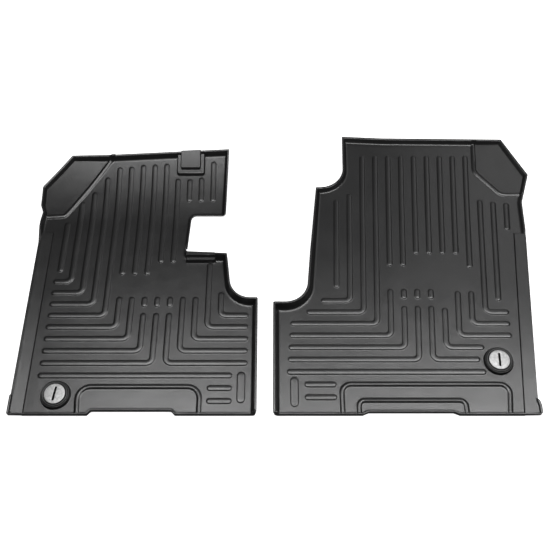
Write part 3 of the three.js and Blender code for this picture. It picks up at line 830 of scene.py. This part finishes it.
# ---- Pieces ------------------------------------------------------------------------------
def add_piece(mesh, material, body, replaces=()):
    """An object for the mesh, which rides on a body and stands in for the replaced nodes."""
    piece = bpy.data.objects.new(mesh.name, mesh)
    bpy.context.scene.collection.objects.link(piece)
    mesh.materials.append(material)
    mesh.shade_smooth()
    mesh.set_sharp_from_angle(angle=math.radians(38))
    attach(piece, body)
    for node in replaces:
        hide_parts(node)
    return piece


def add_mat(side, mat, material):
    node = f"{side}_mat"
    mesh = mat.mesh(f"{side}_mat_moulding")
    low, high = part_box(f"{side}_turn_disc")
    x = (low.x + high.x) / 2 - mat.anchor[0] * MM
    y = (low.y + high.y) / 2 - mat.anchor[1] * MM
    mesh.transform(Matrix.Translation(Vector((x, y, 0))) @ Matrix.Scale(MM, 4))
    return add_piece(mesh, material, f"{side}_tray", [node])


def spun(name, profile, steps=96):
    """A turned part from a profile of (radius, height), in millimetres, closed on itself or
    on the axis."""
    mesh = bmesh.new()
    rings = []
    for radius, height in profile:
        if radius == 0:
            rings.append([mesh.verts.new((0, 0, height))])
            continue
        ring = []
        for k in range(steps):
            angle = 2 * math.pi * k / steps
            x, y = radius * math.cos(angle), radius * math.sin(angle)
            ring.append(mesh.verts.new((x, y, height)))
        rings.append(ring)
    pairs = list(zip(rings, rings[1:]))
    if profile[0][0] > 0:
        pairs.append((rings[-1], rings[0]))
    for first, second in pairs:
        for k in range(steps):
            after = (k + 1) % steps
            corners = [first[k % len(first)], first[after % len(first)],
                       second[after % len(second)], second[k % len(second)]]
            distinct = list(dict.fromkeys(corners))
            if len(distinct) > 2:
                mesh.faces.new(distinct)
    bmesh.ops.recalc_face_normals(mesh, faces=mesh.faces)
    data = bpy.data.meshes.new(name)
    mesh.to_mesh(data)
    mesh.free()
    return data


def place_on(mesh, node, turned=0.0):
    """Moves a mesh drawn round the anchor's axis, in millimetres, to where the node is."""
    low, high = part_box(node)
    centre = Vector(((low.x + high.x) / 2, (low.y + high.y) / 2, 0))
    spin = Matrix.Rotation(math.radians(turned), 4, "Z")
    mesh.transform(Matrix.Translation(centre) @ spin @ Matrix.Scale(MM, 4))


def grommet_mesh(name):
    """The ring round the disc, grooved between its edge and its lip, and the sleeve below."""
    return spun(name, [
        (6.3, 5), (11.7, 5), (11.7, 11.3), (35.1, 11.3), (36.1, 11.6), (36.5, 12.3), (36.4, 13.2),
        (35.9, 13.8), (35.3, 13.9), (34.7, 13.5), (34.2, 13.2), (33.7, 13.5), (33.2, 14.6),
        (32.5, 15.3), (31.2, 15.5), (30, 15.4), (29.2, 15.0), (28.6, 14.2), (28.6, 12.5),
        (6.3, 12.5),
    ])


def disc_mesh(name):
    """The slotted disc: a shallow dome with a rounded edge and a coin slot with square ends."""
    slot_line = np.array([[0.0, -SLOT_HALF_LENGTH], [0.0, SLOT_HALF_LENGTH]])
    loops = [circle((0, 0), r, 96) for r in (*reversed(DISC_EDGE_RADII), 21, 17, 12, 7)]
    slot_loops = [around(slot_line, step, 4.0, 8) for step in SLOT_STEPS]
    floor_edge, _, wall_edge, rim_edge = SLOT_STEPS

    def top(points):
        r = np.hypot(*points.T)
        edge = np.interp(r, DISC_EDGE_RADII, [0, 0.1, 0.35, 0.8, 1.4, 2.2])
        dome = DISC_CROWN - 0.9 * (r / DISC_RADIUS) ** 2 - edge
        d = distance_to_line(points, slot_line)
        in_slot = 1 - smooth(d, floor_edge, wall_edge)
        by_slot = 1 - smooth(d, wall_edge, rim_edge)
        floor = np.minimum(dome, SLOT_FLOOR)
        return dome + (floor - dome) * in_slot - 0.15 * by_slot

    def bottom(points):
        return np.full(len(points), DISC_SEAT)

    def keep(centres):
        return np.hypot(*centres.T) < DISC_RADIUS

    return relief_mesh(name, loops + slot_loops, [], keep, top, bottom)


def stem_mesh(name):
    """The stem under the disc, with a thinner, chamfered end."""
    profile = [
        (0, 0.3), (3.6, 0.3), (4, 0.6), (4, 1.4), (5.6, 1.4), (6, 1.8), (6, 12.9), (0, 12.9),
    ]
    return spun(name, profile, steps=48)


def joined_mesh(name, first, second):
    both = bmesh.new()
    both.from_mesh(first)
    both.from_mesh(second)
    data = bpy.data.meshes.new(name)
    both.to_mesh(data)
    both.free()
    return data


def add_anchor(side, nylon, metal, spring):
    """A modelled disc and grommet; the parts under the mat keep the CAD model's shapes."""
    disc = joined_mesh(f"{side}_slotted_disc", disc_mesh("disc"), stem_mesh("stem"))
    grommet = grommet_mesh(f"{side}_grommet_flange")
    place_on(disc, f"{side}_turn_disc", SLOT_TURNS[side])
    place_on(grommet, f"{side}_grommet")
    add_piece(disc, metal, f"{side}_anchor", [f"{side}_turn_disc"])
    add_piece(grommet, nylon, f"{side}_tray", [f"{side}_grommet"])
    for part, material in (("backing_ring", nylon), ("lock_bar", metal),
                           ("wave_washer", spring), ("retaining_ring", spring)):
        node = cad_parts[f"{side}_{part}"]
        node.data.materials.clear()
        node.data.materials.append(material)


# ---- Stage, in metres --------------------------------------------------------------------
FLOOR_SIZE = 60
FLOOR_GAP = 0.0005
LENS = 49.4
SENSOR_WIDTH = 36.0
SIDEWAYS_SHIFT = 0.003
CAMERA_PLACE = (-0.0415, -1.0913, 1.834)
CAMERA_ELEVATION = 60
WORLD_STRENGTH = 0.06
SOFTBOX_Z = 1.5
SOFTBOX_DEPTH = (-0.45, 0.13)
SOFTBOX_EDGE_DEPTH = (0.14, 0.5)
SOFTBOX_RADIANCE = 7.5
# The mat it hangs over, its left and right ends, and the radiance of its edge strip.
SOFTBOX_SPANS = (("driver", -1.0, 0.02, 0.5), ("passenger", 0.23, 1.55, 0.15))
SIDE_PANEL_PLACE = (1.22, 1.2)
SIDE_PANEL_SIZE = (0.6, 0.5)
SIDE_PANEL_RADIANCE = 1.9
# The mat it faces, its x and its radiance.
FRONT_FILLS = (("driver", -1.1, 0.1), ("passenger", 1.5, 0.5))
FRONT_FILL_SIZE = (2.5, 1.8)
FRONT_FILL_Y = 3.2
FRONT_FILL_Z = 2.4
FRONT_FILL_TARGET_Y = 0.2


def add_floor():
    bpy.ops.mesh.primitive_plane_add(size=FLOOR_SIZE, location=(0, 0, -FLOOR_GAP))
    floor = bpy.context.object
    floor.name = "studio_floor"
    floor.data.materials.append(floor_material())
    floor.visible_glossy = False


def add_area_light(name, location, target, size, radiance):
    """A rectangular lamp aimed at a target, whose power follows from its size and radiance."""
    data = bpy.data.lights.new(name, "AREA")
    data.shape = "RECTANGLE"
    data.size, data.size_y = size
    data.energy = math.pi * size[0] * size[1] * radiance
    light = bpy.data.objects.new(name, data)
    light.location = location
    aim = Vector(target) - Vector(location)
    light.rotation_euler = aim.to_track_quat("-Z", "Y").to_euler()
    bpy.context.scene.collection.objects.link(light)


def add_overhead_light(name, x, y, size, radiance):
    """A lamp at the softboxes' height that faces straight down."""
    add_area_light(name, (x, y, SOFTBOX_Z), (x, y, 0), size, radiance)


def add_lights():
    for name, left, right, edge_radiance in SOFTBOX_SPANS:
        for part, (rear, front), radiance in (
            ("softbox", SOFTBOX_DEPTH, SOFTBOX_RADIANCE),
            ("softbox_edge", SOFTBOX_EDGE_DEPTH, edge_radiance),
        ):
            x, y = (left + right) / 2, (rear + front) / 2
            size = (right - left, front - rear)
            add_overhead_light(f"{name}_{part}", x, y, size, radiance)
    add_overhead_light("side_panel", *SIDE_PANEL_PLACE, SIDE_PANEL_SIZE, SIDE_PANEL_RADIANCE)
    for name, x, radiance in FRONT_FILLS:
        place = (x, FRONT_FILL_Y, FRONT_FILL_Z)
        target = (x, FRONT_FILL_TARGET_Y, 0)
        add_area_light(f"{name}_front_fill", place, target, FRONT_FILL_SIZE, radiance)
    world = bpy.data.worlds.new("studio")
    bpy.context.scene.world = world
    world.use_nodes = True
    background = world.node_tree.nodes["Background"]
    background.inputs["Color"].default_value = (1, 1, 1, 1)
    background.inputs["Strength"].default_value = WORLD_STRENGTH


def add_camera():
    """A camera on the seat side of the mats, which looks towards the toe end and down."""
    data = bpy.data.cameras.new("camera")
    data.sensor_width = SENSOR_WIDTH
    data.lens = LENS
    data.shift_x = SIDEWAYS_SHIFT
    camera = bpy.data.objects.new("camera", data)
    camera.location = CAMERA_PLACE
    camera.rotation_euler = (math.radians(90 - CAMERA_ELEVATION), 0, 0)
    bpy.context.scene.collection.objects.link(camera)
    bpy.context.scene.camera = camera


# ---- Build -------------------------------------------------------------------------------
elastomer = elastomer_material()
nylon = nylon_material()
metal = cast_metal_material()
spring = spring_steel_material()
add_camera()
add_mat("driver", driver_mat(), elastomer)
add_mat("passenger", passenger_mat(), elastomer)
for mat_side in ("driver", "passenger"):
    add_anchor(mat_side, nylon, metal, spring)
add_floor()
add_lights()
bpy.context.scene.view_settings.view_transform = "Standard"
